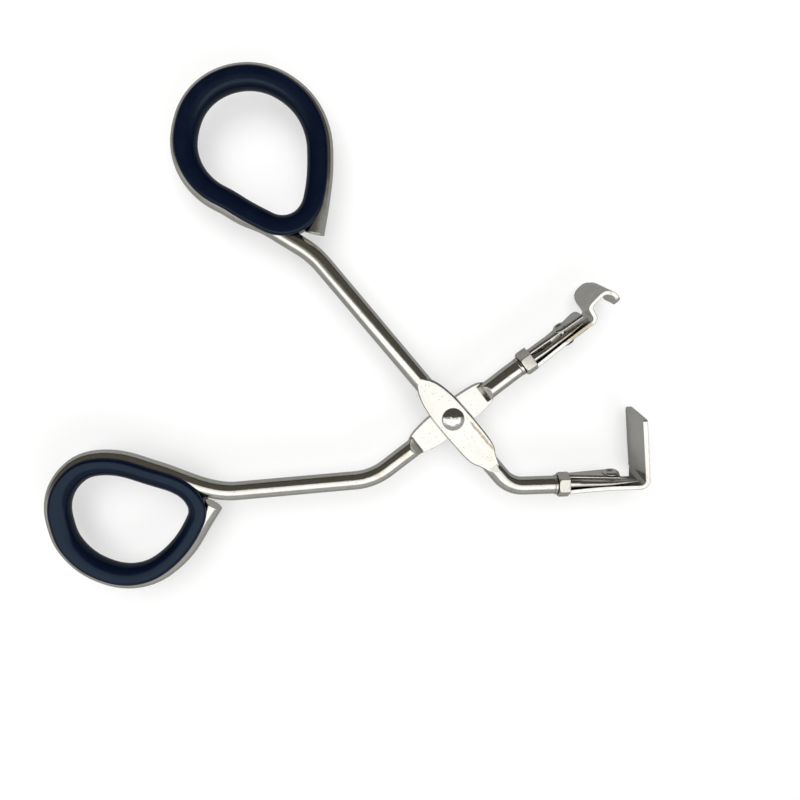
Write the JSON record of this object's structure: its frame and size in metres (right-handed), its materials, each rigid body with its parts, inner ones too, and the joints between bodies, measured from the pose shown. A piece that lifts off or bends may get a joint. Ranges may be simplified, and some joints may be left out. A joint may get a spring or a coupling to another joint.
{
  "type": "frame grip",
  "caption": "Scissor-action hand grip with crossed rod arms, padded finger loops, a flat angled jaw and a curled hook jaw held by collars and rivets.",
  "frame": {"origin": "pivot axis, on the plane where the two flattened arms meet", "axes": "+Z along the pivot rivet towards the side with the L-jaw arm on top; +X towards the jaws; +Y to the left of +X, towards the finger loop of the L-jaw arm"},
  "size_m": [0.1548, 0.1278, 0.0151],
  "materials": {
    "plated_rod": "bright nickel plate",
    "plated_sheet": "bright nickel plate, slightly duller",
    "plated_collar": "bright nickel plate",
    "rivet_steel": "plated, peened",
    "navy_plastic": "glossy navy black"
  },
  "bodies": {
    "hook_arm": {"hook_jaw_arm": "plated_rod", "pivot_rivet": "rivet_steel", "hook_jaw_hex_collar": "plated_collar", "hook_jaw_collar_ring": "plated_collar", "hook_jaw_scoop": "plated_sheet", "hook_jaw_cross_rivet": "rivet_steel", "hook_arm_finger_insert": "navy_plastic"},
    "l_arm": {"l_jaw_arm": "plated_rod", "l_jaw_hex_collar": "plated_collar", "l_jaw_collar_ring": "plated_collar", "l_jaw_plate": "plated_sheet", "l_jaw_cross_rivet": "rivet_steel", "l_arm_finger_insert": "navy_plastic"}
  },
  "joints": [
    {"name": "pivot", "type": "hinge", "parent": "hook_arm", "child": "l_arm", "pos_m": [0, 0, 0], "axis": [0, 0, 1], "range_deg": [-55, 38.5]}
  ]
}
